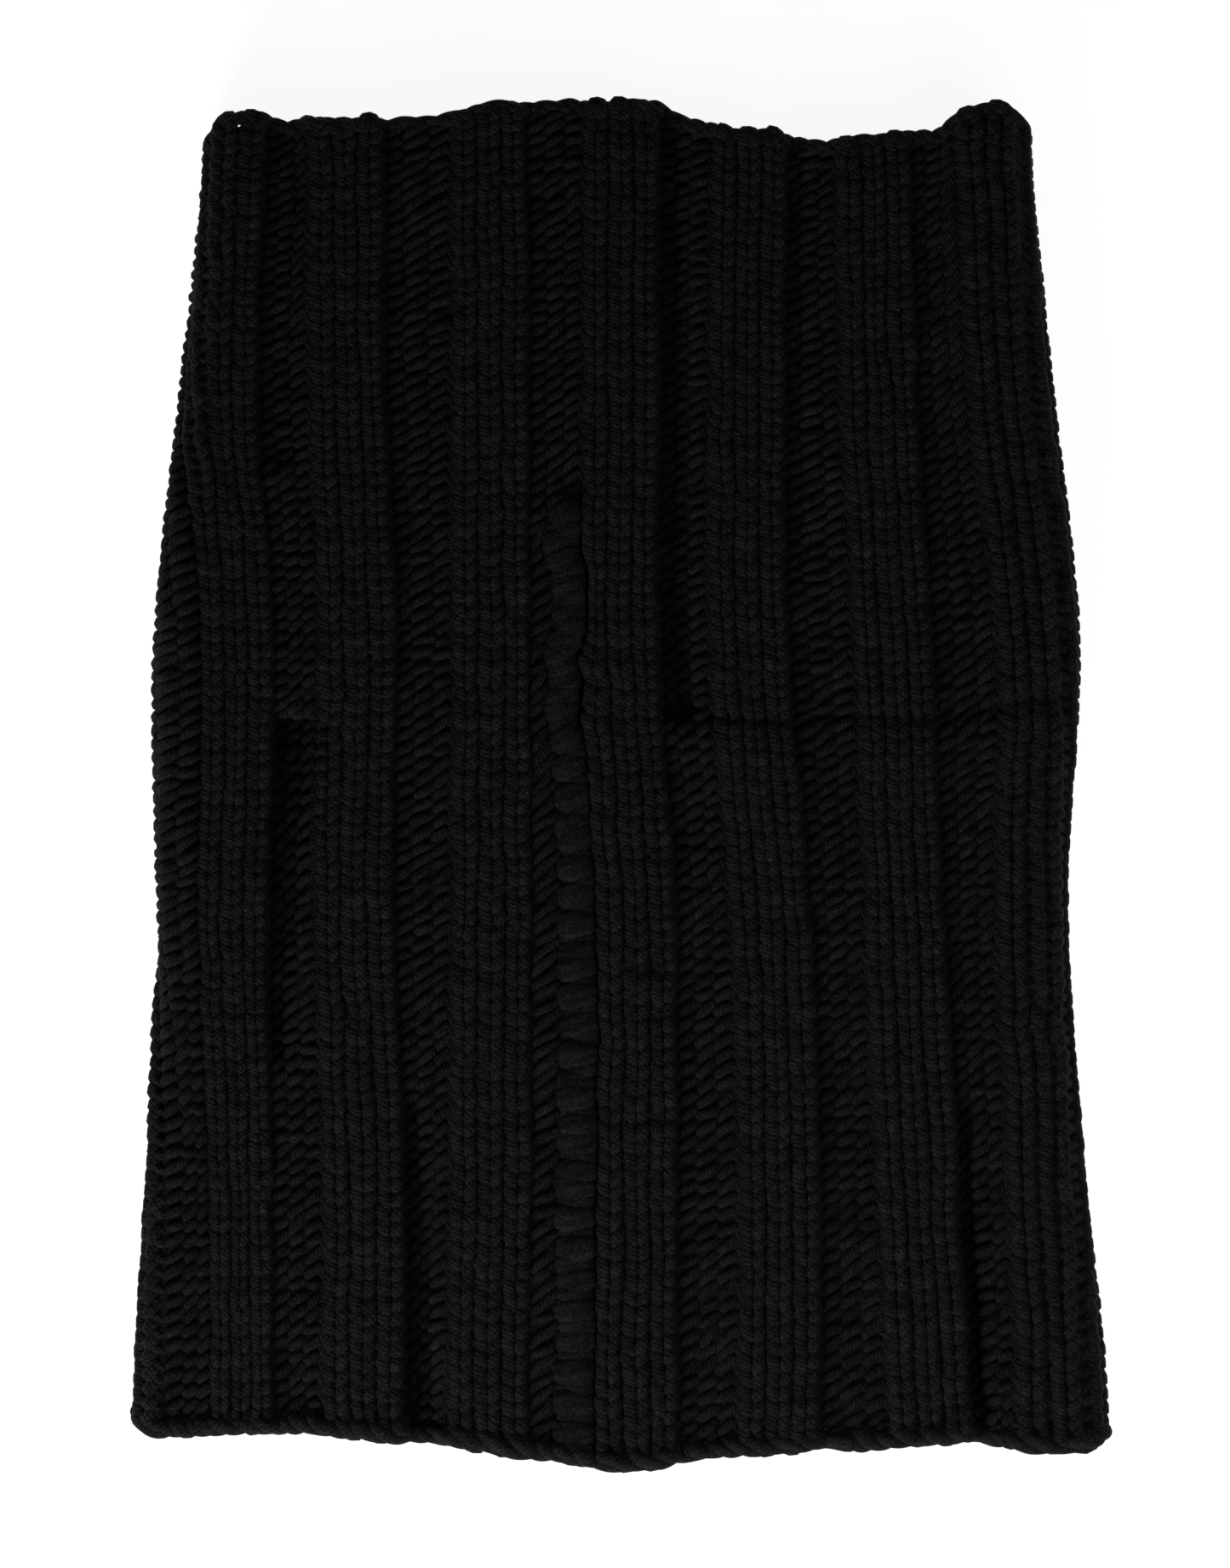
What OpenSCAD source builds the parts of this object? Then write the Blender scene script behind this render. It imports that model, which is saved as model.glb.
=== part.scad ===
// Knitted tube balaclava in a wide three-by-three rib, lying flat on its back layer.
// +Y runs from the hem to the top edge and +Z is up, out of the front layer. The origin is
// on the surface that it lies on, under the middle of the tube. All sizes in millimetres.
//
// The knit is one fabric, so its solids are the stretches that a knitter counts: raised
// knit ribs, sunk purl panels, the cast-on hem, the bound-off top edge, and the seam with
// its face slit. Each solid stands on the same flattened tube and meets the next face to face.

/* [Tube] */
// Length of the tube, hem to the highest point of the top edge
tube_l = 388; // [370:1:405]
// Width across the hem, lying flat
hem_w = 275; // [265:1:290]
// Thickness of the knit
fabric_h = 7; // [6:0.5:8]
// How far a knit rib stands out of the middle of the fabric, and a purl panel sinks
relief = 1.4; // [0.6:0.1:1.8]
// Space left between the front and the back layer
layer_gap = 5; // [4.6:0.1:7]

/* [Ribs] */
// Width of a knit rib at the hem
rib_w_hem = 23; // [20:0.5:25]
// Width of a knit rib at the top edge
rib_w_top = 20.6; // [18:0.5:22]

/* [Edges] */
// Height of the cast-on hem
hem_h = 8; // [5:0.5:10]
// Height of the bound-off top edge
top_edge_h = 5; // [3:0.5:8]
// How much lower the back layer's two edges lie behind the front layer's
back_short = 2.5; // [0:0.5:4]

/* [Seam and slit] */
// Length of the open slit in the seam
slit_l = 64; // [40:1:90]
// Height of the slit's middle above the middle of the tube
slit_y = 42; // [20:1:60]
// Width of the rolled selvedge beside the seam
selvedge_w = 11; // [8:0.5:12]
// Width of the groove that holds the sewing yarn, and of the closed slit
groove_w = 1.6; // [1:0.1:2.5]

/* [Hidden] */
// Outline and ribs, from the hem up to the top edge in six even levels, as shares of half
// the hem width. Ribs are counted from left to right on the front layer.
LEFT_SIDE = [1.0, 0.972, 0.950, 0.951, 0.899, 0.858];
RIGHT_SIDE = [1.0, 0.951, 0.916, 0.941, 0.887, 0.841];
FRONT_RIBS = [
    [-0.785, -0.790, -0.799, -0.793, -0.824, -0.807],
    [-0.531, -0.529, -0.550, -0.543, -0.562, -0.567],
    [-0.276, -0.269, -0.267, -0.267, -0.269, -0.272],
    [0.031, 0.031, 0.030, -0.004, -0.001, -0.001],
    [0.324, 0.323, 0.305, 0.263, 0.257, 0.263],
    [0.632, 0.606, 0.580, 0.559, 0.529, 0.516],
    [0.899, 0.873, 0.850, 0.852, 0.791, 0.761],
];
// How far the hem and the top edge fall short of the full length, left to right
HEM_WAVE = [9, 10, 7.5, 4, 0, 3.5, 5, 7, 4.5];
TOP_WAVE = [3.5, 6, 4.5, 1, 0.4, 6, 10.5, 9.5, 1];

front_ribs = len(FRONT_RIBS);
back_ribs = 7;
ribs = front_ribs + back_ribs;
half_w = hem_w / 2;
skin = fabric_h / 2;
// Radius of the tube's middle surface round the two folds, and the height of its centre
fold_r = layer_gap / 2 + relief + skin;
mid_z = fold_r + relief + skin;
// Share of a rib or panel, from its edge, over which the relief rises
slope = 0.18;
// Clearance between the edge bands and the ribs and panels that they close
band_gap = 0.2;
// Steps up the tube of a flat stretch, and of one that turns round a fold
flat_steps = 10;
fold_steps = 20;
// Steps of an edge band across the flat layer, and round each half fold
edge_steps = 24;
turn_steps = 3;
seam_panel = 3;
body_l = tube_l - hem_h - top_edge_h;
slit_low = 0.5 + (slit_y - slit_l / 2) / body_l;
slit_high = 0.5 + (slit_y + slit_l / 2) / body_l;

function two(k) = k < 10 ? str("0", k) : str(k);
function rib_name(k) = str("knit_rib_", two(k));
function panel_name(k) = str("purl_panel_", two(k));

function clamp(x) = min(1, max(0, x));
function mix(a, b, f) = a + (b - a) * f;

// Smooth curve through evenly spaced values
function along(list, t) =
    let (n = len(list) - 1, q = clamp(t) * n, i = min(floor(q), n - 1), f = q - i)
    let (a = list[max(i - 1, 0)], b = list[i], c = list[i + 1], d = list[min(i + 2, n)])
    b + 0.5 * f * (c - a + f * (2 * a - 5 * b + 4 * c - d + f * (3 * (b - c) + d - a)));

// Middle of each fold's arc, left and right of the tube's centre plane
function left_x(t) = half_w * along(LEFT_SIDE, t) - skin - fold_r;
function right_x(t) = half_w * along(RIGHT_SIDE, t) - skin - fold_r;
function fold_l() = PI * fold_r;
function girth(t) = 2 * (left_x(t) + right_x(t)) + 2 * fold_l();

// The middle surface at distance s round the tube from the front centre: x, z, and the
// outward direction's x and z
function core(s, t) =
    let (right = right_x(t), left = left_x(t), turned = s < -left ? s + girth(t) : s)
    let (past_fold = turned - right - fold_l(), past_back = past_fold - right - left)
    let (arc = turned - right, arc_deg = arc / fold_r * 180 / PI)
    let (back_deg = past_back / fold_r * 180 / PI)
    arc <= 0 ? [turned, fold_r, 0, 1]
    : past_fold <= 0
        ? [right + fold_r * sin(arc_deg), fold_r * cos(arc_deg), sin(arc_deg), cos(arc_deg)]
    : past_back <= 0 ? [right - past_fold, -fold_r, 0, -1]
    : past_back <= fold_l()
        ? [-left - fold_r * sin(back_deg), -fold_r * cos(back_deg), -sin(back_deg), -cos(back_deg)]
    : [turned - girth(t), fold_r, 0, 1];

// Ends of the fabric between its two edge bands, where it faces up (1) or down (-1)
function low_y(across, facing) =
    -tube_l / 2 + hem_h + along(HEM_WAVE, across) + back_short * (1 - facing) / 2;
function high_y(across, facing) =
    tube_l / 2 - top_edge_h - along(TOP_WAVE, across) - back_short * (1 - facing) / 2;

// A point at distance s round the tube and share t up it, off the middle surface by out,
// and moved along the tube by extra
function fabric_point(s, t, out, extra = 0) =
    let (c = core(s, t))
    let (across = clamp((c[0] + left_x(t)) / (left_x(t) + right_x(t))))
    [
        c[0] + out * c[2],
        mix(low_y(across, c[3]), high_y(across, c[3]), t) + extra,
        mid_z + c[1] + out * c[3],
    ];

function rib_w(t) = mix(rib_w_hem, rib_w_top, t);
function front_rib(k, t) = half_w * along(FRONT_RIBS[k - 1], t);
function rib_s(k, t) =
    k > front_ribs
        ? front_rib(front_ribs, t) + (k - front_ribs) * back_pitch(t)
        : front_rib(k, t);
function back_pitch(t) =
    (girth(t) - front_rib(front_ribs, t) + front_rib(1, t)) / (back_ribs + 1);
function rib_left(k, t) =
    k > ribs ? rib_left(1, t) + girth(t) : rib_s(k, t) - rib_w(t) / 2;
function rib_right(k, t) = rib_s(k, t) + rib_w(t) / 2;

// Rise of the relief across a rib or panel: nothing at its edges, full on its flat middle
function rise(v) = min(1, min(v, 1 - v) / slope);

// Closed solid between two grids of points, of rows up the tube and columns round it
module slab(outer, inner) {
    rows = len(outer);
    cols = len(outer[0]);
    last = cols - 1;
    function o(i, j) = i * cols + j;
    function n(i, j) = rows * cols + i * cols + j;
    polyhedron(
        points = concat([for (row = outer) each row], [for (row = inner) each row]),
        faces = [
            for (i = [0:rows - 2], j = [0:cols - 2]) each [
                [o(i, j), o(i + 1, j), o(i + 1, j + 1)],
                [o(i, j), o(i + 1, j + 1), o(i, j + 1)],
                [n(i, j), n(i + 1, j + 1), n(i + 1, j)],
                [n(i, j), n(i, j + 1), n(i + 1, j + 1)],
            ],
            for (i = [0:rows - 2]) each [
                [o(i + 1, 0), o(i, 0), n(i, 0)],
                [o(i + 1, 0), n(i, 0), n(i + 1, 0)],
                [o(i, last), o(i + 1, last), n(i + 1, last)],
                [o(i, last), n(i + 1, last), n(i, last)],
            ],
            for (j = [0:cols - 2]) each [
                [o(0, j), o(0, j + 1), n(0, j + 1)],
                [o(0, j), n(0, j + 1), n(0, j)],
                [o(rows - 1, j + 1), o(rows - 1, j), n(rows - 1, j)],
                [o(rows - 1, j + 1), n(rows - 1, j), n(rows - 1, j + 1)],
            ],
        ]
    );
}

// Columns across a rib or panel. One that turns round a fold has more of them.
FLAT_COLUMNS = [0, slope, 0.5, 1 - slope, 1];
FOLD_COLUMNS = [0, slope / 2, slope, 0.34, 0.5, 0.66, 1 - slope, 1 - slope / 2, 1];

// Levels from low to high, with every common step between them, so that a short stretch
// meets its full-length neighbour edge to edge
function levels(low, high, steps) = [
    low,
    for (i = [0:steps]) if (i / steps > low && i / steps < high) i / steps,
    high,
];

// A stretch of fabric between two lines up the tube, from share low to share high of its
// length. side is 1 where it stands out and -1 where it sinks.
module stretch(from_s, to_s, side, fold = false, low = 0, high = 1) {
    columns = fold ? FOLD_COLUMNS : FLAT_COLUMNS;
    function row(face) = [
        for (t = levels(low, high, fold ? fold_steps : flat_steps)) [
            for (v = columns)
                fabric_point(mix(from_s(t), to_s(t), v), t, face * skin + side * relief * rise(v))
        ]
    ];
    slab(row(1), row(-1));
}

module knit_rib(k) {
    fold = k == 1 || k == front_ribs || k == front_ribs + 1 || k == ribs;
    color([0.10, 0.10, 0.105])
        stretch(
            function(t) rib_left(k, t),
            function(t) rib_right(k, t),
            1,
            fold
        );
}

module purl_panel(k) {
    fold = k == front_ribs || k == ribs;
    selvedge = k == seam_panel ? selvedge_w : 0;
    color([0.07, 0.07, 0.075])
        stretch(
            function(t) rib_right(k, t),
            function(t) rib_left(k + 1, t) - selvedge,
            -1,
            fold
        );
}

// The rest of the seam's panel above the slit, where the purl rows run on whole
module panel_above_slit() {
    color([0.07, 0.07, 0.075])
        stretch(
            function(t) rib_left(seam_panel + 1, t) - selvedge_w,
            function(t) rib_left(seam_panel + 1, t),
            -1,
            low = slit_high
        );
}

// The rolled edge of the fabric, left of the slit or of the sewn seam
module selvedge(low, high) {
    color([0.09, 0.09, 0.095])
        stretch(
            function(t) rib_left(seam_panel + 1, t) - selvedge_w,
            function(t) rib_left(seam_panel + 1, t) - groove_w,
            1,
            low = low,
            high = high
        );
}

// The yarn that sews the selvedge to the next rib, below the slit
module seam_yarn() {
    color([0.12, 0.12, 0.125])
        stretch(
            function(t) rib_left(seam_panel + 1, t) - groove_w,
            function(t) rib_left(seam_panel + 1, t),
            -1,
            high = slit_low
        );
}

// A rounded band along one edge of one layer, from fold to fold. up is 1 at the top edge
// and -1 at the hem.
module edge_band(front, up, height) {
    t = up > 0 ? 1 : 0;
    start = front ? -left_x(t) - fold_l() / 2 : right_x(t) + fold_l() / 2;
    end = front ? right_x(t) + fold_l() / 2 : girth(t) - left_x(t) - fold_l() / 2;
    turn = fold_l() / 2;
    places = [
        for (i = [0:turn_steps - 1]) start + turn * i / turn_steps,
        for (i = [0:edge_steps]) mix(start + turn, end - turn, i / edge_steps),
        for (i = [1:turn_steps]) end - turn + turn * i / turn_steps,
    ];
    // Share of the band's height and of the fabric's half thickness, from the fabric out
    profile = [[0, 1.0], [0.45, 1.15], [0.8, 1.0], [1, 0.5]];
    rows = up > 0 ? profile : [for (i = [len(profile) - 1:-1:0]) profile[i]];
    function face(side) = [
        for (p = rows) [
            for (s = places)
                fabric_point(s, t, side * skin * p[1], up * mix(band_gap, height, p[0]))
        ]
    ];
    color([0.11, 0.11, 0.115])
        slab(face(1), face(-1));
}

for (k = [1:ribs]) {
    knit_rib(k);
    purl_panel(k);
}
panel_above_slit();  // purl_panel_03_above_slit
selvedge(slit_low, slit_high);  // slit_lip
selvedge(0, slit_low);  // seam_selvedge
seam_yarn();
edge_band(true, -1, hem_h);  // hem_front
edge_band(false, -1, hem_h);  // hem_back
edge_band(true, 1, top_edge_h);  // top_edge_front
edge_band(false, 1, top_edge_h);  // top_edge_back
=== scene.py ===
"""Looks of the knitted tube balaclava: a wide three-by-three rib worked in one thick wool yarn.

The tube is laid on the same flattened shape as the CAD part. Every row of stitches is one
yarn that winds round the tube, looping once in each wale (column of stitches). Lengths here
are in millimetres until a mesh is made, which is in metres.
"""

import math

import bpy
import numpy as np
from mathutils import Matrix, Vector


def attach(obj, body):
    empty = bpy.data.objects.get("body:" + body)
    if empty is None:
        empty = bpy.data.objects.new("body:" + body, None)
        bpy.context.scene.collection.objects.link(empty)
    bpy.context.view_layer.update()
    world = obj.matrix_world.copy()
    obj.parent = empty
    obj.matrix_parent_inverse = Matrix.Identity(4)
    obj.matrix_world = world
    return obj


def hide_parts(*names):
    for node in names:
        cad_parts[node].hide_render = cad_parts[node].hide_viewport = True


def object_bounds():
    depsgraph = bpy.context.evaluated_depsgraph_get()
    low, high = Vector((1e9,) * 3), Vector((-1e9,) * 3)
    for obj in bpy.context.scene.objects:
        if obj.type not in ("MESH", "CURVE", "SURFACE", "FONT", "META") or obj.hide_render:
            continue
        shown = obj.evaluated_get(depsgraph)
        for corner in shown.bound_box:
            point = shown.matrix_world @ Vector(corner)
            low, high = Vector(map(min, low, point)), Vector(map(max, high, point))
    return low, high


MM = 0.001
TURN = 2 * math.pi

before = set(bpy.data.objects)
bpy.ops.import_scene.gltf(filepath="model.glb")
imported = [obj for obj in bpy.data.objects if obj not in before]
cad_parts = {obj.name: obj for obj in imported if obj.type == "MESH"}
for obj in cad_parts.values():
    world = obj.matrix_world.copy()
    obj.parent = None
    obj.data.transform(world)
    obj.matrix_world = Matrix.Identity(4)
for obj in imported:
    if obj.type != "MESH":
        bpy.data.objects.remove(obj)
cad_low, cad_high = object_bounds()

# ---------------------------------------------------------------- camera
CAMERA_AT = Vector((-0.0018, 0.0001, 2.4))
VIEW_HEIGHT = 0.4421
camera_data = bpy.data.cameras.new("camera")
camera_data.sensor_width = 36
camera_data.lens = camera_data.sensor_width * (CAMERA_AT.z - cad_high.z) / VIEW_HEIGHT
camera_data.clip_end = 10
camera = bpy.data.objects.new("camera", camera_data)
camera.location = CAMERA_AT
bpy.context.scene.collection.objects.link(camera)
bpy.context.scene.camera = camera

# ---------------------------------------------------------------- sizes, as in the CAD part
TUBE_L, HEM_W = 388.0, 275.0
FABRIC_H, RELIEF, LAYER_GAP = 7.0, 1.4, 5.0
RIB_W_HEM, RIB_W_TOP = 23.0, 20.6
HEM_H, TOP_EDGE_H, BACK_SHORT = 8.0, 5.0, 2.5
SLIT_L, SLIT_Y = 64.0, 42.0
# Outline and rib centres at six even levels, hem to top edge, as shares of half the hem width
# to the left and right of the middle
LEFT_SIDE = [1.0, 0.972, 0.950, 0.951, 0.899, 0.858]
RIGHT_SIDE = [1.0, 0.951, 0.916, 0.941, 0.887, 0.841]
FRONT_RIBS = [
    [-0.785, -0.790, -0.799, -0.793, -0.824, -0.807],
    [-0.531, -0.529, -0.550, -0.543, -0.562, -0.567],
    [-0.276, -0.269, -0.267, -0.267, -0.269, -0.272],
    [0.031, 0.031, 0.030, -0.004, -0.001, -0.001],
    [0.324, 0.323, 0.305, 0.263, 0.257, 0.263],
    [0.632, 0.606, 0.580, 0.559, 0.529, 0.516],
    [0.899, 0.873, 0.850, 0.852, 0.791, 0.761],
]
# Shortfall of the hem and the top edge from the full length, left to right
HEM_WAVE = [9, 10, 7.5, 4, 0, 3.5, 5, 7, 4.5]
TOP_WAVE = [3.5, 6, 4.5, 1, 0.4, 6, 10.5, 9.5, 1]

HALF_W = HEM_W / 2
SKIN = FABRIC_H / 2
FOLD_R = LAYER_GAP / 2 + RELIEF + SKIN
# The loops stand a little further out than the fabric's outline in the CAD part
LIFT = 1.85
MID_Z = FOLD_R + RELIEF + SKIN + LIFT
FOLD_L = math.pi * FOLD_R
BODY_L = TUBE_L - HEM_H - TOP_EDGE_H
RIBS, FRONT, BACK = 14, 7, 7

# The folds are a little squarer than a half circle
FOLD_POWER = 2.7

# ---------------------------------------------------------------- the stitches
WALES_EACH = 3
WALES = 2 * RIBS * WALES_EACH
ROWS = 96
ROW_PITCH_HEM, ROW_PITCH_TOP = 4.4, 3.5
# Height of the fabric's middle on a rib and on a panel, off the tube's middle surface, in mm
RIB_OUT, PANEL_OUT = 1.80, -1.15
# Knit face, two upright legs to a stitch: yarn radius, narrowing of the neck and widening of
# the head as shares of its width, height as a share of the row pitch, slant and depth in mm,
# and the width in mm past which its yarn gets no thicker
KNIT_R, KNIT_NECK, KNIT_WIDE = 0.256, 0.150, -0.025
KNIT_HEIGHT, KNIT_SKEW, KNIT_DEPTH = 0.86, -0.25, 0.75
KNIT_WIDEST = 7.8
# Purl face, one slanted stroke to a stitch: yarn radius in mm, how far its ends reach past its
# sides as a share of its width, its rise as a share of the row pitch, depth in mm
PURL_R, PURL_OVER, PURL_RISE, PURL_DEPTH = 1.60, 0.20, 0.46, 0.65
# Unevenness of the stitches: height, purl rise, neck and purl reach as shares, then place
# along the tube, round it and out of it in mm, then thickness as a share
UNEVEN_TALL, UNEVEN_RISE, UNEVEN_NECK, UNEVEN_REACH = 0.06, 0.30, 0.10, 0.15
UNEVEN_ALONG, UNEVEN_ROUND, UNEVEN_OUT, UNEVEN_THICK = 0.22, 0.22, 0.18, 0.05
# Round the folds the stitches are flatter, more even and fatter by these shares, the knit ones
# fatter by twice as much
FOLD_FLAT, FOLD_EVEN, FOLD_FAT = 0.25, 0.6, 0.06
# Unevenness of the lines between wales, and drift of the rows up and down the tube, in mm
LINE_WANDER, ROW_DRIFT = 0.28, 0.7
# How far the knit runs on under the hem and the top edge
UNDER_HEM, UNDER_TOP = 5.0, 2.5
# Places along the yarn in each wale, and sides of its section and of an edge strand's
SAMPLES, SIDES, ROPE_SIDES = 14, 8, 14
# Height over length of a strand when strands are laid side by side for a texture
STRAND_ASPECT = 0.19
# In mm: how much narrower rib 1 is at its left and at its right, at six even levels from the
# hem up, how far rib 7 reaches round the right fold, and how far rib 14 comes round the left
# fold near the hem. The first of the three wales of the left fold's panel is the widest.
RIB_1_SET_IN = [3.8, 3.4, 1.4, 0.9, 1.0, 0], [1.9, 1.7, 1.3, 0, 0.5, 0]
RIB_7_ROUND, RIB_14_ROUND = 4.0, 7.0
LEFT_PANEL_SHARES = [0, 0.44, 0.72]
# The last two wales of panel 3 are the selvedge, and the seam and slit are the line after them
SEAM_WALE = 3 * 2 * WALES_EACH - 2
LIP_WALE = SEAM_WALE + 1
SEAM_LINE = LIP_WALE + 1
# The rolled selvedge is a ridge two wales wide, of fat round stitches: its width and height,
# its yarn's radius, and the rise of a stitch across it, in mm
RIDGE_W, RIDGE_OUT, RIDGE_R, RIDGE_RISE = 9.0, 1.0, 2.1, 0.8
# How much longer its stitches are along the tube than they are thick, as a share, and the
# pitch, width and height of its lumps
RIDGE_LONG, LUMP_PITCH, LUMP_W, LUMP_OUT = 1.30, 9.0, 0.8, 0.45
# A knob near the slit's upper end: level, spread along the tube and extra width
KNOB_Y, KNOB_HALF, KNOB_W = 65.0, 4.5, 1.5
# Towards the hem the ridge is wider: by how much, at which level, and fading over
RIDGE_LOW_W, RIDGE_LOW_Y, RIDGE_LOW_FADE = 2.6, -110, 150
# The wale beside the ridge slants more steeply by this share. Its height along the slit's upper
# part and below it, the level where that changes, and how gradually
BESIDE_STEEP = 0.9
BESIDE_OUT, BESIDE_LOW_OUT, BESIDE_Y, BESIDE_FADE = 0.7, 1.4, 28, 12
# The groove between the ridge and rib 4: depth in mm and half width in wales
GROOVE_DEEP, GROOVE_HALF_W = 2.6, 0.11
# How far the slit stands open: level, spread along it and width, in mm, on top of the least
SLIT_GAPS = [(64, 3.5, 1.1), (55, 5, 0.7), (35, 3, 0.8), (24, 4, 1.3), (14, 3, 1.3)]
SLIT_GAP_LEAST = 0.5
# Sideways sway of the slit, in mm, at even levels from its lower end to its upper end
SLIT_SWAY = [-0.3, -0.9, 0.9, -0.4, 1.0, 1.9, 2.0, 0.2, 0.0]
# Small humps of the top edge: place across, spread and height, in mm
TOP_HUMPS = [
    (-95, 4, -1.5),
    (-89, 2.2, 0.9),
    (-83.5, 2.2, 0.9),
    (-71, 4.5, 1.5),
    (-35, 5, 0.8),
    (-10, 4, -0.6),
    (10, 5, 0.9),
    (30, 4, -0.8),
    (41, 3.5, 0.9),
    (57, 4, -0.6),
    (75, 4, 0.8),
    (89, 4.5, -2.2),
    (97, 2, 0.7),
]
# How far the side folds fall short of the top edge and of the hem
TOP_CORNER, HEM_CORNER = 5.0, 2.0
SLIT_LOW = 0.5 + (SLIT_Y - SLIT_L / 2) / BODY_L
SLIT_HIGH = 0.5 + (SLIT_Y + SLIT_L / 2) / BODY_L

rng = np.random.default_rng(9)


def smooth(x):
    """0 below 0, 1 above 1, and an even S between."""
    x = np.clip(x, 0, 1)
    return x * x * (3 - 2 * x)


def bell(x, middle, spread):
    """1 at the middle, falling away evenly on both sides."""
    return np.exp(-(((x - middle) / spread) ** 2))


def along(values, t):
    """Smooth curve through evenly spaced values, at shares t of its length."""
    v = np.asarray(values, float)
    n = len(v) - 1
    q = np.clip(t, 0, 1) * n
    i = np.minimum(q.astype(int) if isinstance(q, np.ndarray) else int(q), n - 1)
    f = q - i
    a, b, c, d = v[np.maximum(i - 1, 0)], v[i], v[i + 1], v[np.minimum(i + 2, n)]
    return b + 0.5 * f * (c - a + f * (2 * a - 5 * b + 4 * c - d + f * (3 * (b - c) + d - a)))


def wander(shape, knots, size):
    """Smooth random values: one curve for each entry of shape[0], over shape[1] places."""
    rough = rng.normal(0, size, (shape[0], knots + 3))
    q = np.linspace(0, knots, shape[1])
    i = np.minimum(q.astype(int), knots - 1)
    f = smooth(q - i)
    return rough[:, i] * (1 - f) + rough[:, i + 1] * f


def left_x(t):
    return HALF_W * along(LEFT_SIDE, t) - SKIN - FOLD_R


def right_x(t):
    return HALF_W * along(RIGHT_SIDE, t) - SKIN - FOLD_R


def girth(t):
    return 2 * (left_x(t) + right_x(t)) + 2 * FOLD_L


def fold_round(over):
    """Place on a fold and the way out of it, at an angle over from its upper start."""
    up, side = np.cos(over), np.abs(np.sin(over))
    size = FOLD_R * (np.abs(up) ** FOLD_POWER + side**FOLD_POWER) ** (-1 / FOLD_POWER)
    nx = side ** (FOLD_POWER - 1)
    nz = np.sign(up) * np.abs(up) ** (FOLD_POWER - 1)
    long = np.hypot(nx, nz)
    return size * side, size * up, nx / long, nz / long


def fold_share(s, t):
    """1 round the side folds and 0 on the flat front and back."""
    left, right, whole = left_x(t), right_x(t), girth(t)
    half = FOLD_L / 2
    off_right = np.abs(np.mod(s - right - half + whole / 2, whole) - whole / 2)
    off_left = np.abs(np.mod(s + left + half + whole / 2, whole) - whole / 2)
    return 1 - smooth((np.minimum(off_right, off_left) / half - 0.25) / 0.6)


def tube_point(s, t, out, extra):
    """The point at distance s round the tube and share t up it, off its middle surface by
    out and moved along it by extra."""
    left, right, whole = left_x(t), right_x(t), girth(t)
    s = np.mod(s + left, whole) - left
    over = (s - right) / FOLD_R
    back = s - right - FOLD_L
    under = (back - right - left) / FOLD_R
    front = s <= right
    on_right = ~front & (back <= 0)
    on_back = ~front & ~on_right & (under <= 0)
    over_x, over_z, over_nx, over_nz = fold_round(np.clip(over, 0, math.pi))
    under_x, under_z, under_nx, under_nz = fold_round(np.clip(under, 0, math.pi))
    where = [front, on_right, on_back]
    x = np.select(where, [s, right + over_x, right - back], -left - under_x)
    z = np.select(where, [FOLD_R, over_z, -FOLD_R], -under_z)
    nx = np.select(where, [0, over_nx, 0], -under_nx)
    nz = np.select(where, [1, over_nz, -1], -under_nz)
    across = np.clip((x + left) / (left + right), 0, 1)
    low = -TUBE_L / 2 + HEM_H + along(HEM_WAVE, across) + BACK_SHORT * (1 - nz) / 2
    high = TUBE_L / 2 - TOP_EDGE_H - along(TOP_WAVE, across) - BACK_SHORT * (1 - nz) / 2
    near_top = np.clip(t, 0, 1) ** 6
    near_hem = np.clip(1 - t, 0, 1) ** 6
    humps = sum(rise * bell(x, at, spread) for at, spread, rise in TOP_HUMPS)
    y = low + (high - low) * t + extra
    y = y + near_top * (humps - TOP_CORNER * nx**2) + near_hem * HEM_CORNER * nx**2
    return np.stack([x + out * nx, y, MID_Z + z + out * nz], -1)


def rib_w(t):
    return RIB_W_HEM + (RIB_W_TOP - RIB_W_HEM) * t


def rib_s(k, t):
    """Centre of rib k, counted from 1, as a distance round the tube."""
    if k <= FRONT:
        return HALF_W * along(FRONT_RIBS[k - 1], t)
    first, last = rib_s(1, t), rib_s(FRONT, t)
    return last + (k - FRONT) * (girth(t) - last + first) / (BACK + 1)


LEVELS = 401


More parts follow.
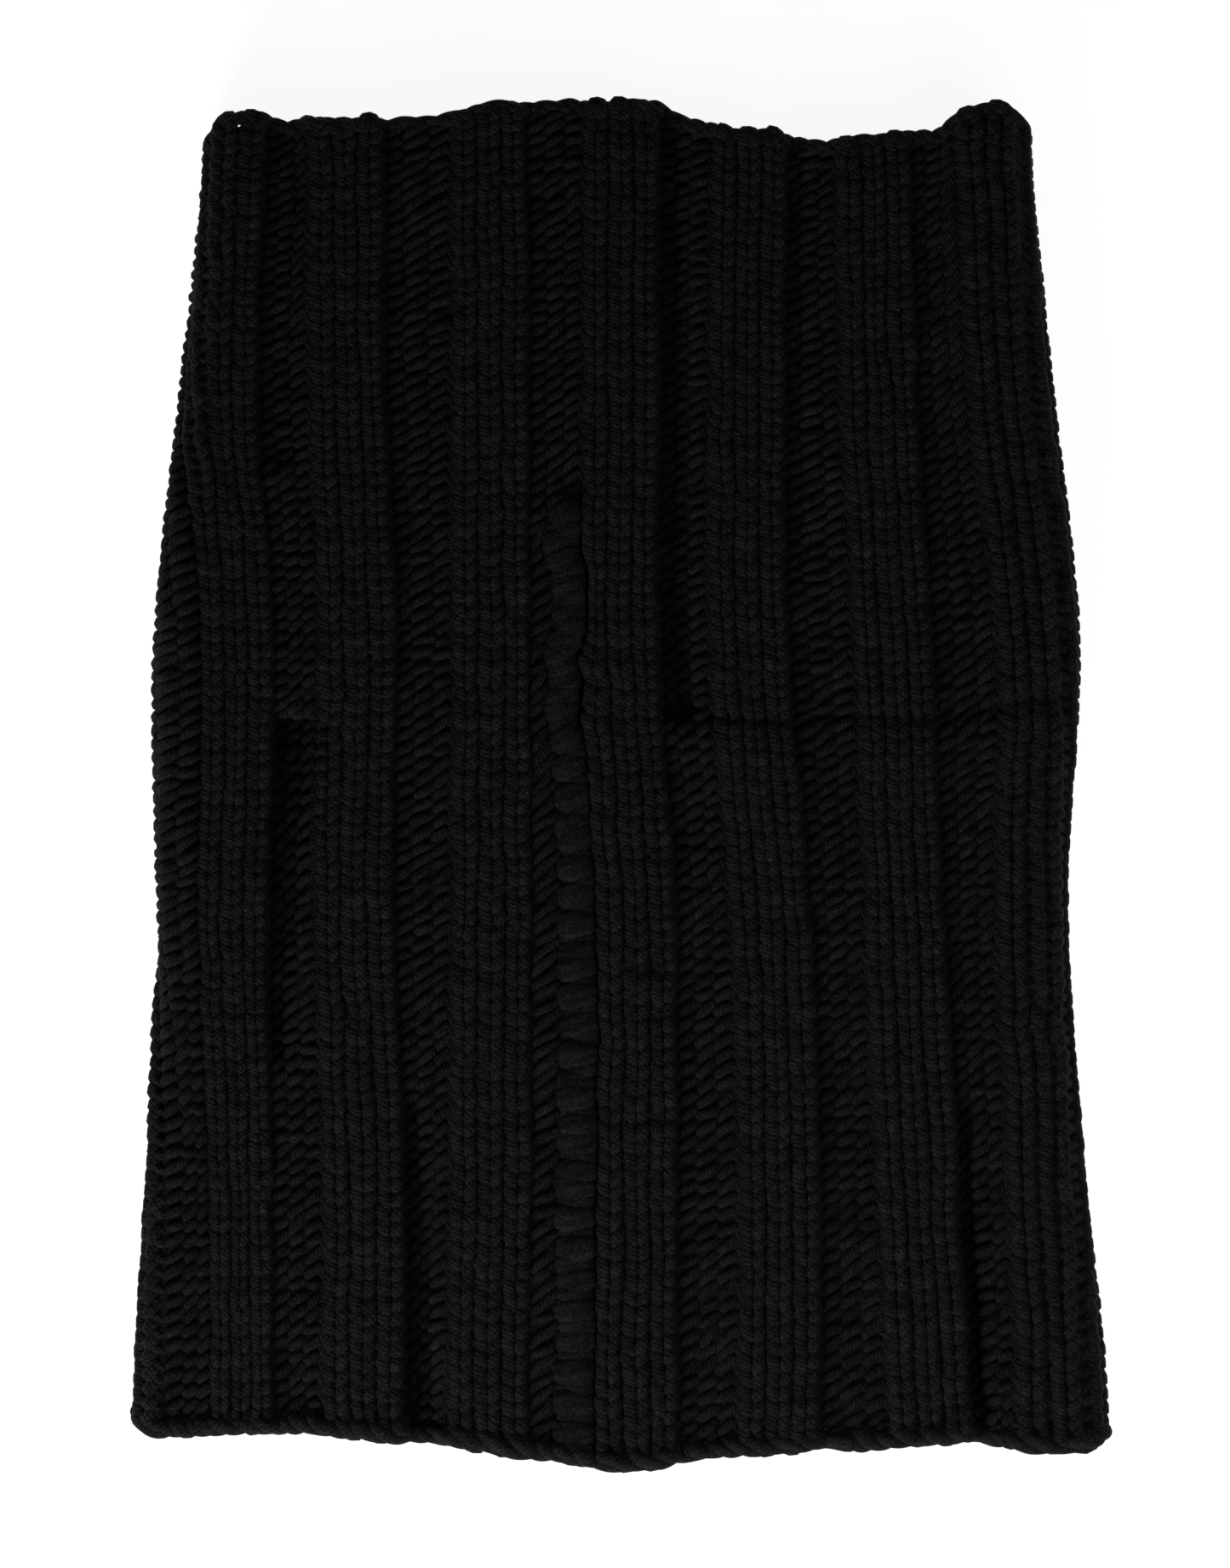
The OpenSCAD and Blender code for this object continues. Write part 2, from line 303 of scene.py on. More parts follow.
def wale_lines():
    """Distance round the tube of each line between two wales, at every level."""
    t = np.linspace(0, 1, LEVELS)
    lines = []
    for k in range(1, RIBS + 1):
        left, right = rib_s(k, t) - rib_w(t) / 2, rib_s(k, t) + rib_w(t) / 2
        if k == 1:
            left, right = left + along(RIB_1_SET_IN[0], t), right - along(RIB_1_SET_IN[1], t)
        if k == FRONT:
            right = right + RIB_7_ROUND
        if k == RIBS:
            shift = RIB_14_ROUND * near_hem_fold(t)
            left, right = left + shift, right + shift
        if k < RIBS:
            after = rib_s(k + 1, t) - rib_w(t) / 2
        else:
            after = lines[0] + girth(t)
        lines += [left + (right - left) * i / WALES_EACH for i in range(WALES_EACH)]
        shares = LEFT_PANEL_SHARES if k == RIBS else np.arange(WALES_EACH) / WALES_EACH
        lines += [right + (after - right) * share for share in shares]
    lines.append(lines[0] + girth(t))
    lines = np.array(lines)
    lines[1:-1] += wander((WALES - 1, LEVELS), 26, LINE_WANDER)
    # The selvedge takes a width of its own, and the slit stands a little open
    along_slit = (t - SLIT_LOW) / (SLIT_HIGH - SLIT_LOW)
    lines[SEAM_LINE] += along(SLIT_SWAY, along_slit) * (along_slit > 0)
    seam = lines[SEAM_LINE]
    rolled = below_slit_top(t)
    y = (t - 0.5) * BODY_L
    wide = RIDGE_W + LUMP_W * ridge_lump(t) + KNOB_W * bell(y, KNOB_Y, KNOB_HALF)
    wide = wide + RIDGE_LOW_W * (1 - smooth((y - RIDGE_LOW_Y) / RIDGE_LOW_FADE))
    lines[SEAM_WALE] += rolled * (seam - wide - slit_gap(t) - lines[SEAM_WALE])
    lines[LIP_WALE] += rolled * (seam - wide / 2 - slit_gap(t) - lines[LIP_WALE])
    return lines


def ridge_lump(t):
    """Swelling of the ridge below the slit, from -1 to 1, at level t."""
    y = (t - 0.5) * BODY_L
    lump = np.sin(TURN * y / LUMP_PITCH + 1.3 * np.sin(TURN * y / (3.7 * LUMP_PITCH)))
    return lump * (1 - smooth((t - SLIT_LOW) / 0.04))


def near_hem_fold(t):
    """1 near the hem, where rib 14 comes round the left fold, and 0 above."""
    return smooth((0.40 - t) / 0.22)


def below_slit_top(t):
    """1 below the upper end of the slit, where the panel's edge is rolled, and 0 above."""
    return 1 - smooth((t - SLIT_HIGH) / 0.02)


def slit_gap(t):
    """Width of the slit at level t."""
    inside = (t - SLIT_LOW) / (SLIT_HIGH - SLIT_LOW)
    y = (t - 0.5) * BODY_L
    gap = SLIT_GAP_LEAST + sum(wide * bell(y, at, spread) for at, spread, wide in SLIT_GAPS)
    return gap * np.sqrt(np.clip(4 * inside * (1 - inside), 0, 1))


LINES = wale_lines()


def line_at(j, t):
    """Line j between two wales at level t, both arrays."""
    q = np.clip(t, 0, 1) * (LEVELS - 1)
    i = np.minimum(q.astype(int), LEVELS - 2)
    return LINES[j, i] * (1 - (q - i)) + LINES[j, i + 1] * (q - i)


def rib_profile(u):
    """1 on a rib and 0 on a panel: up gently at its left edge, down steeply at its right."""
    p = np.mod(u, 2 * WALES_EACH)
    up = smooth((p + 0.55) / 1.0) * (p < 1.5) + smooth((p - 5.45) / 1.0) * (p > 5)
    return np.where(p < 1.5, up, np.where(p < 4.2, 1 - smooth((p - 2.85) / 0.3), up))


# Where a panel is drawn in deep beside a rib: rib, upper and lower level in mm, then width in
# wales at each, then depth in mm at each. The second is the deepest.
POCKETS = [
    (1, 200, 90, 2.9, 2.4, 3.4, 2.0),
    (1, 14, -85, 3.2, 1.1, 8.8, 2.8),
    (2, 200, 30, 1.2, 1.0, 1.8, 0.8),
    (2, -95, -200, 1.2, 2.9, 3.0, 6.0),
    (4, 200, 17, 1.6, 1.9, 4.2, 6.0),
    (5, 200, 60, 1.3, 1.1, 2.6, 1.0),
    (6, -95, -200, 0.8, 1.4, 3.0, 6.0),
]
# How gradually a pocket starts and ends, in mm
POCKET_END = 7.0
# The top of the deepest pocket is drawn up under the rows above it: how far, and fading over
TUCK_UP, TUCK_FADE = 7.0, 60.0
# A crease across the right half: level, half width, depth and waviness, with a low swell below
# it, and the wales where it starts and ends
CREASE_Y, CREASE_HALF, CREASE_DEEP, CREASE_WAVE = 20.0, 1.8, 1.5, 1.1
SWELL_OUT, SWELL_HALF = 1.3, 9
CREASE_FROM, CREASE_TO = 21, 37
# The panel on the left fold is drawn tight, so it stands out, but by this share less near the
# hem, from which level of the tube, and fading over
LEFT_PANEL_LIFT, LEFT_LOW_LESS, LEFT_LOW_FROM, LEFT_LOW_FADE = 4.6, 0.75, 0.46, 0.20
# How much lower rib 7 lies where it goes round the right fold
RIB_7_TUCK = 0.3


def pocket_across(rib, wide, u):
    """1 inside a pocket so many wales wide beside a rib, and 0 elsewhere."""
    p = u - (2 * rib - 1) * WALES_EACH
    return smooth((p + 0.2) / 0.5) * (1 - smooth((p - wide + 0.5) / 0.9))


def pocket_tuck(u, t):
    """How far the deepest pocket's stitches are drawn up the tube, in mm."""
    rib, high, _, wide = POCKETS[1][:4]
    below = high - (t - 0.5) * BODY_L
    here = pocket_across(rib, wide, u) * smooth(below / POCKET_END + 0.5)
    return TUCK_UP * here * (1 - smooth(below / TUCK_FADE))


def surface_out(u, t):
    """How far the fabric's middle stands off the tube's middle surface."""
    y = (t - 0.5) * BODY_L
    out = PANEL_OUT + (RIB_OUT - PANEL_OUT) * rib_profile(u)
    for rib, high, low, wide_high, wide_low, deep_high, deep_low in POCKETS:
        up = np.clip((y - low) / (high - low), 0, 1)
        wide = wide_low + (wide_high - wide_low) * up
        here = pocket_across(rib, wide, u)
        here = here * smooth((high - y) / POCKET_END + 0.5) * smooth((y - low) / POCKET_END + 0.5)
        out = out - (deep_low + (deep_high - deep_low) * up) * here
    right_half = smooth((u - CREASE_FROM) / 2) * (1 - smooth((u - CREASE_TO) / 1.5))
    crease_y = CREASE_Y + CREASE_WAVE * np.sin(0.7 * u)
    crease = CREASE_DEEP * bell(y, crease_y, CREASE_HALF)
    swell = SWELL_OUT * bell(y, CREASE_Y - SWELL_HALF, SWELL_HALF)
    out = out + right_half * (swell - crease)
    left_panel = WALES - WALES_EACH
    on_panel = smooth((u - left_panel + 0.5) / 0.6) * (1 - smooth((u - WALES + 0.55) / 0.5))
    less = LEFT_LOW_LESS * smooth((LEFT_LOW_FROM - t) / LEFT_LOW_FADE)
    out = out + LEFT_PANEL_LIFT * (1 - less) * on_panel
    q = u - 2 * (FRONT - 1) * WALES_EACH
    out = out - RIB_7_TUCK * smooth((q - 1) / 1.5) * (1 - smooth((q - 2.6) / 0.8))
    # The selvedge rolls up into a ridge, with a groove between it and rib 4
    rolled = below_slit_top(t)
    ridge = smooth((u - SEAM_WALE + 0.15) / 0.6) * (1 - smooth((u - SEAM_LINE + 0.30) / 0.35))
    groove = bell(u, SEAM_LINE, GROOVE_HALF_W)
    beside = smooth((u - SEAM_WALE + 1.1) / 0.3) * (1 - smooth((u - SEAM_WALE + 0.2) / 0.3))
    low = 1 - smooth((y - BESIDE_Y) / BESIDE_FADE)
    out = out + rolled * beside * (BESIDE_OUT + (BESIDE_LOW_OUT - BESIDE_OUT) * low)
    top = RIDGE_OUT + LUMP_OUT * ridge_lump(t)
    return out + rolled * (ridge * (top - out) - GROOVE_DEEP * groove)


def face_of(w):
    """1 where a wale shows its knit face and -1 where it shows its purl face."""
    return np.where(np.mod(w, 2 * WALES_EACH) < WALES_EACH, 1.0, -1.0)


def rows():
    """Pitch of every row, and its level: closer together towards the top edge."""
    pitch = np.linspace(ROW_PITCH_HEM, ROW_PITCH_TOP, ROWS)
    pitch *= (BODY_L + UNDER_HEM + UNDER_TOP) / pitch.sum()
    return pitch, (np.cumsum(pitch) - pitch / 2 - UNDER_HEM) / BODY_L


def yarn_rows():
    """Centreline of every row's yarn, (ROWS, places, 3), its radius, and how much longer its
    section is along the tube."""
    pitch, row_at = rows()
    q = np.arange(WALES * SAMPLES + 1)
    w = np.minimum(q // SAMPLES, WALES - 1)
    f = q / SAMPLES - w
    turn = TURN * f - math.pi
    middle = np.cos(turn / 2) ** 2

    def each(size):
        """A random value for every stitch, blended smoothly into its neighbours'."""
        value = rng.normal(0, size, (ROWS, WALES))
        before, after = np.roll(value, 1, 1), np.roll(value, -1, 1)
        edge = np.where(f < 0.5, (value + before)[:, w], (value + after)[:, w]) / 2
        return value[:, w] * middle + edge * (1 - middle)

    near = np.where(f < 0.5, w - 1, w + 1) % WALES
    close = smooth(np.minimum(f, 1 - f) / 0.25)
    face = face_of(w) * (0.5 + 0.5 * close) + face_of(near) * (0.5 - 0.5 * close)

    knit = (1 + face) / 2
    sin1, cos1 = np.sin(turn), np.cos(turn)
    sin2, cos2 = np.sin(2 * turn), np.cos(2 * turn)
    rolled = seam_share(w)[None, :] * below_slit_top(row_at)[:, None]
    rough = 1 - 0.3 * rolled
    ridge = np.sin(math.pi * np.clip(w - SEAM_WALE + f, 0, 2) / 2) ** 0.7
    tall = pitch[:, None] * (1 + rough * each(UNEVEN_TALL))
    knit_rise = tall * KNIT_HEIGHT * cos1 + KNIT_SKEW * sin2
    purl_rise = tall * PURL_RISE * (1 + each(UNEVEN_RISE)) * (sin1 - 0.2 * sin2) * (1 - rolled)
    beside = (w == SEAM_WALE - 1) * below_slit_top(row_at)[:, None]
    purl_rise = purl_rise * (1 + BESIDE_STEEP * beside)
    purl_rise = purl_rise + rolled * RIDGE_RISE * (w - SEAM_WALE + f - 1)
    rise = knit * knit_rise + (1 - knit) * purl_rise + rough * each(UNEVEN_ALONG)
    rise = rise + bow(w, row_at)
    level = row_at[:, None] + rise / BODY_L
    left, right = line_at(w, level), line_at(w + 1, level)
    right = right - slit_gap(level) * (w == LIP_WALE)
    knit_place = KNIT_NECK * (1 + rough * each(UNEVEN_NECK)) * sin2 + KNIT_WIDE * sin1
    purl_place = PURL_OVER * (1 - rolled) * (1 + each(UNEVEN_REACH)) * sin1
    place = f + knit * knit_place + (1 - knit) * purl_place
    s = left + (right - left) * place + rough * each(UNEVEN_ROUND)
    folded = fold_share(s, level)
    purl_depth = PURL_DEPTH * (cos1 * (1 - rolled) + (2 * ridge - 1) * rolled)
    depth = (knit * -KNIT_DEPTH * cos2 + (1 - knit) * purl_depth) * (1 - FOLD_FLAT * folded)
    out = surface_out(w + f, level) + depth
    out = out + (1 - FOLD_EVEN * folded) * rough * each(UNEVEN_OUT)
    points = tube_point(s, level, out, pocket_tuck(w + f, level))
    radius = knit * KNIT_R * np.minimum(right - left, KNIT_WIDEST) * (1 - 0.12 * cos1**2)
    purl_radius = PURL_R * (0.80 + 0.20 * cos1) * (1 - rolled)
    purl_radius = purl_radius + RIDGE_R * (0.5 + 0.5 * ridge) * rolled
    radius = radius + (1 - knit) * purl_radius
    radius = radius * (1 + FOLD_FAT * (1 + knit) * folded) * (1 + rough * each(UNEVEN_THICK))
    return points, radius, 1 + RIDGE_LONG * rolled * np.ones_like(radius)


def bow(w, row_at):
    """Slow drift of the rows up and down the tube, from wale to wale."""
    drift = wander((ROWS // 12 + 2, WALES), 12, ROW_DRIFT)
    q = np.linspace(0, len(drift) - 1.001, ROWS)
    i = q.astype(int)
    f = smooth(q - i)[:, None]
    wave = drift[i] * (1 - f) + drift[i + 1] * f
    fade = np.sin(math.pi * np.clip(row_at, 0, 1))[:, None]
    return (wave * fade)[:, w]


def seam_share(w):
    """1 on the two wales of the selvedge beside the seam."""
    return ((w == SEAM_WALE) | (w == LIP_WALE)).astype(float)


def rings(points, radius, long=1.0, sides=SIDES):
    """Rings round centrelines (rows, places, 3), turned as little as possible on the way, and
    drawn out along the tube."""
    tangent = np.gradient(points, axis=1)
    tangent /= np.linalg.norm(tangent, axis=-1, keepdims=True)
    side = np.zeros_like(points)
    start = np.cross(tangent[:, 0], [0.31, 0.21, 0.93])
    side[:, 0] = start / np.linalg.norm(start, axis=-1, keepdims=True)
    for i in range(1, points.shape[1]):
        s = side[:, i - 1]
        s = s - (s * tangent[:, i]).sum(-1, keepdims=True) * tangent[:, i]
        side[:, i] = s / np.linalg.norm(s, axis=-1, keepdims=True)
    other = np.cross(tangent, side)
    angle = TURN * np.arange(sides) / sides
    circle = (
        np.cos(angle)[:, None] * side[:, :, None, :]
        + np.sin(angle)[:, None] * other[:, :, None, :]
    )
    circle[..., 1] *= np.broadcast_to(long, radius.shape)[:, :, None]
    return points[:, :, None, :] + radius[:, :, None, None] * circle


def yarn_mesh(name, ring, distance):
    """One mesh of yarn from its rings, (strands, places, sides, 3), and each place's distance
    along the yarn. A UV map holds that distance and the share of a turn, for the yarn's twist,
    and another lays the strands side by side for a texture."""
    strands, places, sides = ring.shape[:3]
    index = np.arange(strands * places * sides).reshape(strands, places, sides)
    nxt = np.roll(index, -1, 2)
    quads = np.stack([index[:, :-1], nxt[:, :-1], nxt[:, 1:], index[:, 1:]], -1)
    near, far = np.arange(sides) / sides, np.arange(1, sides + 1) / sides
    v = np.broadcast_to(np.stack([near, far, far, near], -1), quads.shape)
    d = np.broadcast_to(distance, (strands, places))
    u = np.stack([d[:, :-1], d[:, :-1], d[:, 1:], d[:, 1:]], -1)[:, :, None, :]
    u = np.broadcast_to(u, quads.shape)
    columns = max(1, round(math.sqrt(strands * STRAND_ASPECT)))
    lines = math.ceil(strands / columns)
    strand = np.arange(strands)[:, None, None, None]
    share = (u - d.min()) / max(d.max() - d.min(), 1e-6)
    flat_u = (strand // lines + 0.02 + 0.96 * share) / columns
    flat_v = (strand % lines + 0.05 + 0.90 * v) / lines
    mesh = bpy.data.meshes.new(name)
    mesh.vertices.add(index.size)
    mesh.vertices.foreach_set("co", (ring * MM).astype(np.float32).ravel())
    mesh.loops.add(quads.size)
    mesh.loops.foreach_set("vertex_index", quads.astype(np.int32).ravel())
    mesh.polygons.add(quads.size // 4)
    mesh.polygons.foreach_set("loop_start", np.arange(0, quads.size, 4, dtype=np.int32))
    mesh.update(calc_edges=True)
    mesh.shade_smooth()
    for layer, across, up in (("yarn", u, v), ("OFBake", flat_u, flat_v)):
        uv = mesh.uv_layers.new(name=layer)
        uv.data.foreach_set("uv", np.stack([across, up], -1).astype(np.float32).ravel())
    return mesh


def piece(name, mesh, material, slot, *nodes):
    """A piece of the object that rides on its one body and stands for these CAD nodes."""
    made = bpy.data.objects.new(name, mesh)
    bpy.context.scene.collection.objects.link(made)
    mesh.materials.append(material)
    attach(made, "root")
    if nodes:
        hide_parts(*nodes)
    return made


# ---------------------------------------------------------------- materials
def wool(name, color, plies=4.0, turns=1.0):
    """Matte spun wool: plies twisted round the yarn, at so many turns to a millimetre, with
    loose fibres and a faint sheen."""
    material = bpy.data.materials.new(name)
    material.use_nodes = True
    nodes, links = material.node_tree.nodes, material.node_tree.links
    shader = nodes["Principled BSDF"]
    shader.inputs["Roughness"].default_value = 0.88
    shader.inputs["Specular IOR Level"].default_value = 0.08
    shader.inputs["Sheen Weight"].default_value = 0.01
    shader.inputs["Sheen Roughness"].default_value = 0.55
    shader.inputs["Sheen Tint"].default_value = (0.55, 0.56, 0.60, 1)

    def math_node(operation, a, b=None):
        node = nodes.new("ShaderNodeMath")
        node.operation = operation
        for socket, value in zip(node.inputs, (a, b)):
            if value is None:
                continue
            if isinstance(value, (int, float)):
                socket.default_value = value
            else:
                links.new(value, socket)
        return node.outputs[0]

    def weighed(*terms):
        """Sum of sockets, each times its weight."""
        parts = [math_node("MULTIPLY", socket, weight) for socket, weight in terms]
        total = parts[0]
        for part in parts[1:]:
            total = math_node("ADD", total, part)
        return total

    place = nodes.new("ShaderNodeTexCoord")

    def noise(scale, roughness):
        node = nodes.new("ShaderNodeTexNoise")
        node.inputs["Scale"].default_value = scale
        node.inputs["Detail"].default_value = 3
        node.inputs["Roughness"].default_value = roughness
        links.new(place.outputs["Object"], node.inputs["Vector"])
        return node.outputs["Fac"]

    yarn = nodes.new("ShaderNodeAttribute")
    yarn.attribute_name = "yarn"
    parts = nodes.new("ShaderNodeSeparateXYZ")
    links.new(yarn.outputs["Vector"], parts.inputs[0])
    around = math_node("MULTIPLY", parts.outputs[1], plies)
    ply = math_node("ADD", around, math_node("MULTIPLY", parts.outputs[0], turns))
    ply = math_node("SINE", math_node("MULTIPLY", ply, TURN))
    fibre = noise(1400, 0.6)
    cloud = noise(160, 0.5)
    bump = nodes.new("ShaderNodeBump")
    bump.inputs["Strength"].default_value = 0.65
    bump.inputs["Distance"].default_value = 0.0004
    links.new(weighed((ply, 0.35), (fibre, 1.6)), bump.inputs["Height"])
    links.new(bump.outputs["Normal"], shader.inputs["Normal"])
    ramp = nodes.new("ShaderNodeValToRGB")
    stops = ramp.color_ramp.elements
    stops.new(0.84)
    for stop, (position, bright) in zip(stops, ((0.46, 0.25), (0.74, 2.2), (0.84, 5.0))):
        stop.position = position
        stop.color = [c * bright for c in color] + [1]
    # Colour: the fibres' and the clouds' own random tone, and a small ply term that darkens the
    # grooves between the plies, which is painted shade
    links.new(weighed((fibre, 0.9), (cloud, 0.3), (ply, 0.03)), ramp.inputs["Fac"])
    links.new(ramp.outputs["Color"], shader.inputs["Base Color"])
    return material


WOOL = (0.0080, 0.0080, 0.0082)
rib_wool = wool("wool_rib", WOOL)
# The purl panels' wool is painted 0.88 times as dark as the ribs': painted shade for the panels
# lying lower between the ribs
purl_wool_painted_shade = wool("wool_purl_painted_shade", [c * 0.88 for c in WOOL])
# The web behind the loops is painted 0.6 times as dark as the ribs' wool: painted shade in the
# gaps between the stitches
web_wool_painted_shade = wool("wool_web_painted_shade", [c * 0.6 for c in WOOL])
edge_wool = wool("wool_edge", WOOL)
# On the rolled selvedge the fibres run straight across it
seam_wool = wool("wool_seam", [c * 0.86 for c in WOOL], 7.0, 0.05)

# ---------------------------------------------------------------- the rib knit
points, radius, drawn_out = yarn_rows()
step = np.linalg.norm(np.diff(points, axis=1), axis=-1).mean(0)
distance = np.concatenate([[0], np.cumsum(step)])
tubes = rings(points, radius, drawn_out)


def rows_of(low, high):
    """Row numbers whose middle lies between two levels."""
    at = rows()[1]
    return np.where((at >= low) & (at < high))[0]


def cut(first, last, picked=None, edge=False):
    """The stitches of some wales and rows, as a strip. At an edge each strand ends closed to a
    point, where the yarn would turn back.
    """
    span = slice(first * SAMPLES, last * SAMPLES + (0 if edge else 1))
    strip = tubes[:, span] if picked is None else tubes[picked, span]
    if edge:
        strip = strip.copy()
        strip[:, -1] = strip[:, -1].mean(1, keepdims=True)
    return strip, distance[span]


def yarn_piece(node, strip, material, slot, ending="_yarn"):
    """A piece of yarn, from its rings and distances, that stands for one CAD node."""
    made = piece(node + ending, yarn_mesh(node, *strip), material, slot, node)


for k in range(1, RIBS + 1):
    first = (k - 1) * 2 * WALES_EACH
    middle, end = first + WALES_EACH, first + 2 * WALES_EACH
    if k == 3:
        end = SEAM_WALE
    yarn_piece(f"knit_rib_{k:02d}", cut(first, middle), rib_wool, "knit_rib")
    yarn_piece(f"purl_panel_{k:02d}", cut(middle, end), purl_wool_painted_shade, "knit_purl")

for name, low, high, material, slot in (
    ("seam_selvedge", -1, SLIT_LOW, seam_wool, "seam_wool"),
    ("slit_lip", SLIT_LOW, SLIT_HIGH, seam_wool, "seam_wool"),
    ("purl_panel_03_above_slit", SLIT_HIGH, 2, purl_wool_painted_shade, "knit_purl"),
):
    strip = cut(SEAM_WALE, SEAM_LINE, rows_of(low, high), edge=high <= SLIT_HIGH)
    yarn_piece(name, strip, material, slot)


# ---------------------------------------------------------------- edges and seam
# Edge strands: step along the edge in mm, how near the fabric's middle line they lie and how
# flat their coil is, as shares, then unevenness of their lay, coil, level and thickness
ROPE_STEP, ROPE_IN, ROPE_FLAT = 0.9, 0.85, 0.8
ROPE_UNEVEN_LAY, ROPE_UNEVEN_COIL, ROPE_UNEVEN_LEVEL, ROPE_UNEVEN_R = 0.5, 0.20, 0.45, 0.07
# Hem and top edge: radius of the coil and of its yarn
HEM_COIL, HEM_YARN = 1.5, 2.1
TOP_COIL, TOP_YARN = 0.9, 1.6
# Whip stitches of the seam: step, length of a stitch, radius of the coil, its height off the
# tube's middle surface and radius of the yarn
SEW_STEP, SEW_PITCH, SEW_COIL, SEW_OUT, SEW_R = 0.7, 6.5, 1.5, -0.9, 0.9


def run_along(line):
    """Distance along a line of points, at each of them."""
    return np.concatenate([[0], np.cumsum(np.linalg.norm(np.diff(line, axis=0), axis=-1))])


def rope(from_s, to_s, t, lift, coil, strands, radius_mm):
    """Strands twisted round each other along an edge, from one distance round the tube to
    another, one lump to a wale. lift moves them along the tube, off the last row."""
    count = int((to_s - from_s) / ROPE_STEP)
    s = np.linspace(from_s, to_s, count)
    level = np.full(count, t)
    lines = LINES[:, round(t * (LEVELS - 1))]
    wrapped = lines[0] + np.mod(s - lines[0], lines[-1] - lines[0])
    u = np.interp(wrapped, lines, np.arange(WALES + 1))
    uneven = wander((3, count), max(4, count // 9), 1.0)
    made = []
    for i in range(strands):
        angle = TURN * (u / strands + i / strands) + ROPE_UNEVEN_LAY * uneven[0]
        size = coil * (1 + ROPE_UNEVEN_COIL * uneven[1])
        out = ROPE_IN * surface_out(u, level) + size * np.sin(angle)
        extra = lift + ROPE_FLAT * size * np.cos(angle) + ROPE_UNEVEN_LEVEL * uneven[2]
        made.append(tube_point(s, level, out, extra))
    line = np.array(made)
    thick = radius_mm * (1 + ROPE_UNEVEN_R * wander((strands, count), count // 4, 1.0))
    return rings(line, thick, sides=ROPE_SIDES), run_along(line[0])


def ends(t):
    """Distances round the tube of the middles of its left and right folds, and the left again."""
    left = -left_x(t) - FOLD_L / 2
    return left, right_x(t) + FOLD_L / 2, left + girth(t)


hem_left, hem_right, hem_round = ends(0.0)
top_left, top_right, top_round = ends(1.0)
hem_rope = (0.0, -HEM_H + HEM_COIL + HEM_YARN, HEM_COIL, 3, HEM_YARN)
top_rope = (1.0, TOP_EDGE_H - TOP_COIL - TOP_YARN, TOP_COIL, 2, TOP_YARN)
edges = (
    ("hem_front", hem_left, hem_right, *hem_rope),
    ("hem_back", hem_right, hem_round, *hem_rope),
    ("top_edge_front", top_left, top_right, *top_rope),
    ("top_edge_back", top_right, top_round, *top_rope),
)
for name, *where in edges:
    yarn_piece(name, rope(*where), edge_wool, "knit_edge")


def sewing():
    """Whip stitches that draw the selvedge to the next rib, sunk in the groove."""
    count = int(SLIT_LOW * BODY_L / SEW_STEP)
    t = np.linspace(0.0, SLIT_LOW, count)
    angle = TURN * t * BODY_L / SEW_PITCH
    s = line_at(np.full(count, SEAM_LINE), t) + SEW_COIL * np.cos(angle)
    line = tube_point(s, t, SEW_OUT + SEW_COIL * np.sin(angle), 0.0)
    return rings(line[None], np.full((1, count), SEW_R)), run_along(line)


yarn_piece("seam_yarn", sewing(), seam_wool, "seam_wool", "_stitches")


# ---------------------------------------------------------------- the fabric behind the loops
# Levels of its mesh and places across each wale, half its thickness, and how far it stands off
# the fabric's middle, less this much round the folds
WEB_LEVELS, WEB_ACROSS, WEB_HALF, WEB_OUT, WEB_FOLD_IN = 97, 4, 0.35, 0.3, 1.2


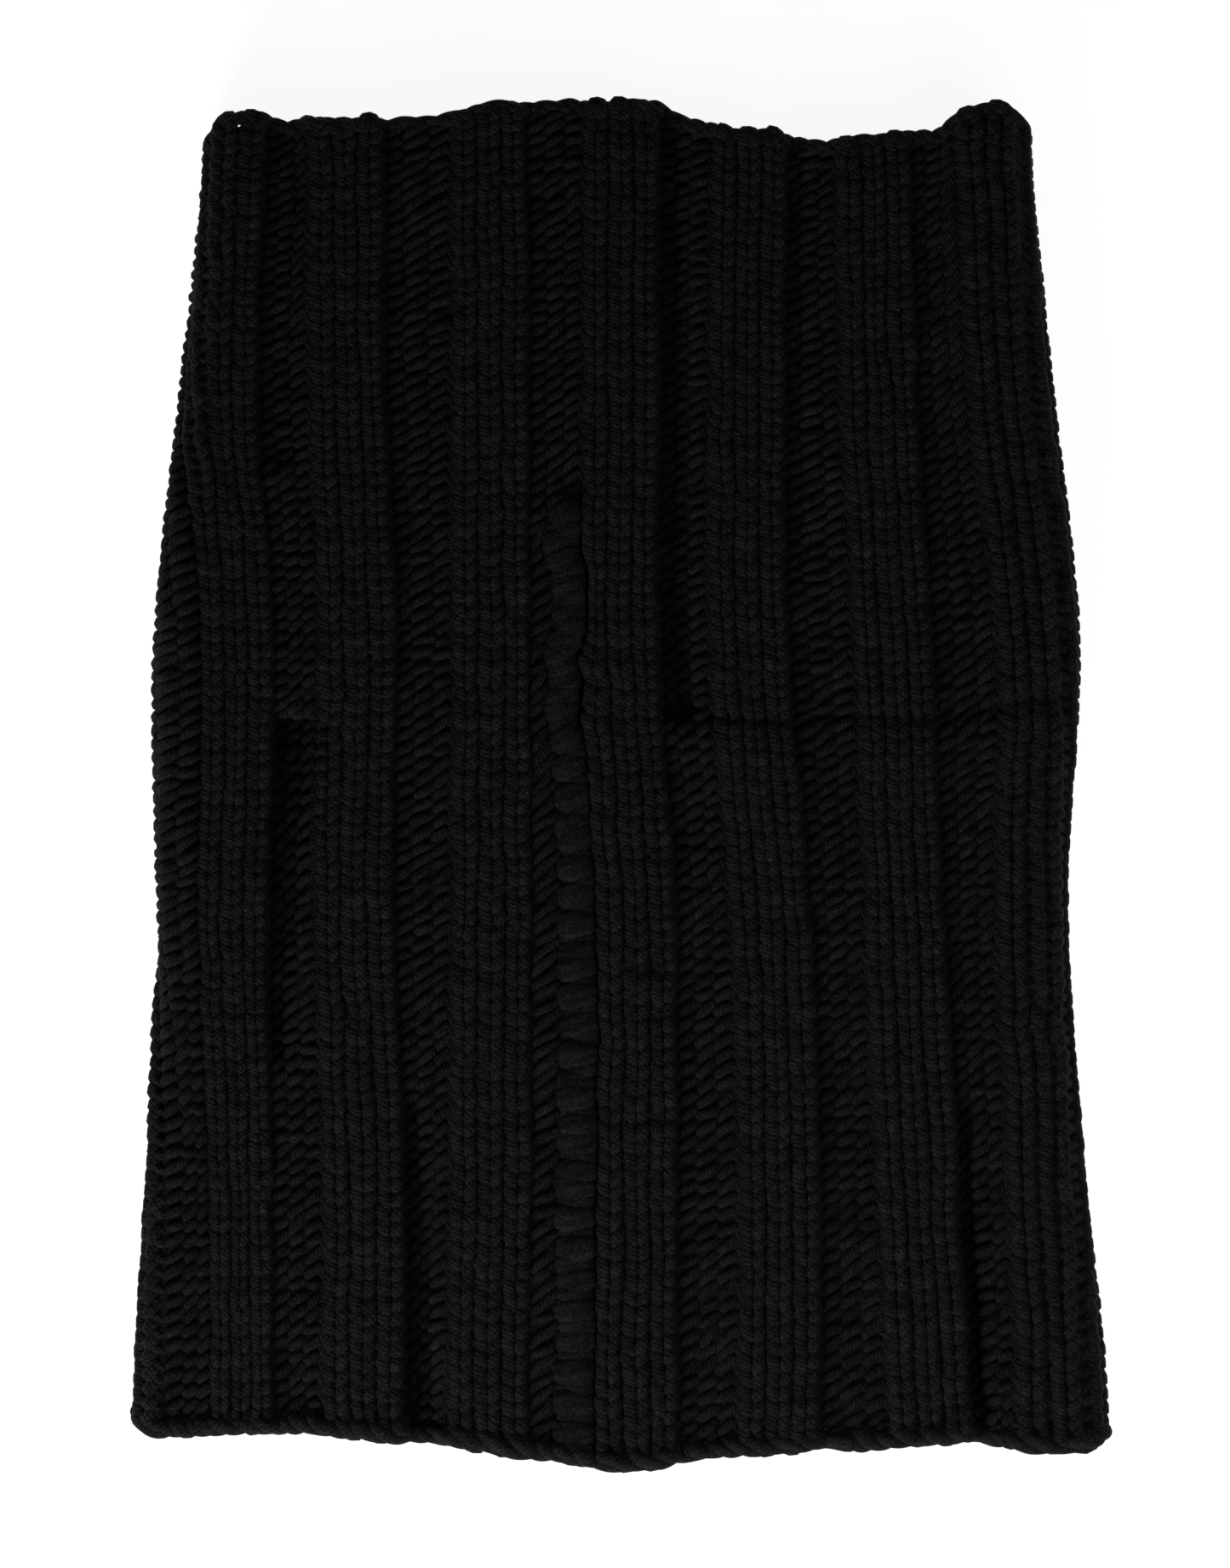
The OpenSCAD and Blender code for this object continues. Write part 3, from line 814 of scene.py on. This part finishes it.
def fabric_web():
    """The knit's middle surface as one thin closed layer, from the slit round to the slit."""
    u = SEAM_LINE + np.linspace(0, WALES, WEB_ACROSS * WALES + 1)
    w = np.minimum(u.astype(int), LIP_WALE + WALES)
    t = np.linspace(0, 1, WEB_LEVELS)[:, None] * np.ones(len(u))
    past = np.where(w >= WALES, girth(t), 0)
    wrapped = w % WALES
    low, high = line_at(wrapped, t), line_at(wrapped + 1, t)
    high = high - (wrapped == LIP_WALE) * slit_gap(t)
    s = low + (high - low) * (u - w) + past
    out = surface_out(wrapped + u - w, t) + WEB_OUT - WEB_FOLD_IN * fold_share(s, t)
    tuck = pocket_tuck(wrapped + u - w, t)
    outer = tube_point(s, t, out + WEB_HALF, tuck)
    inner = tube_point(s, t, out - WEB_HALF, tuck)
    # Rings that run out along one face and back along the other
    ring = np.concatenate([outer, inner[:, ::-1]], 1)
    index = np.arange(ring.shape[0] * ring.shape[1]).reshape(ring.shape[:2])
    nxt = np.roll(index, -1, 1)
    quads = np.stack([index[:-1], nxt[:-1], nxt[1:], index[1:]], -1).reshape(-1, 4)
    n = len(u)
    closing = [
        np.stack([r[: n - 1], r[::-1][: n - 1], r[::-1][1:n], r[1:n]], -1)[:, ::turn]
        for r, turn in ((index[0], -1), (index[-1], 1))
    ]
    quads = np.concatenate([quads, *closing])
    mesh = bpy.data.meshes.new("fabric")
    mesh.from_pydata((ring.reshape(-1, 3) * MM).tolist(), [], quads.tolist())
    mesh.shade_smooth()
    return mesh


# Its darker wool is painted shade, seen in the gaps between the loops
web = piece("fabric_middle", fabric_web(), web_wool_painted_shade, "knit_purl")

# ---------------------------------------------------------------- floor and light
bpy.ops.mesh.primitive_plane_add(size=6)
floor = bpy.context.object
floor.name = "floor"
pale = bpy.data.materials.new("floor_paper")
pale.use_nodes = True
paper = pale.node_tree.nodes["Principled BSDF"]
paper.inputs["Base Color"].default_value = (0.45, 0.45, 0.45, 1)
paper.inputs["Roughness"].default_value = 0.9
paper.inputs["Specular IOR Level"].default_value = 0.0
paper.inputs["Emission Color"].default_value = (1, 1, 1, 1)
paper.inputs["Emission Strength"].default_value = 0.9
floor.data.materials.append(pale)


def softbox(name, at, size, watts):
    data = bpy.data.lights.new(name, "AREA")
    data.size = size
    data.energy = watts
    lamp = bpy.data.objects.new(name, data)
    lamp.location = at
    lamp.rotation_euler = (-Vector(at)).to_track_quat("-Z", "Y").to_euler()
    bpy.context.scene.collection.objects.link(lamp)


softbox("key", (-0.38, -0.75, 0.423), 0.34, 5.1)
softbox("fill", (0.363, -0.22, 0.42), 0.5, 0.72)

world = bpy.data.worlds.new("studio")
world.use_nodes = True
world.node_tree.nodes["Background"].inputs["Color"].default_value = (1, 1, 1, 1)
world.node_tree.nodes["Background"].inputs["Strength"].default_value = 0.11
bpy.context.scene.world = world
bpy.context.scene.view_settings.view_transform = "Standard"
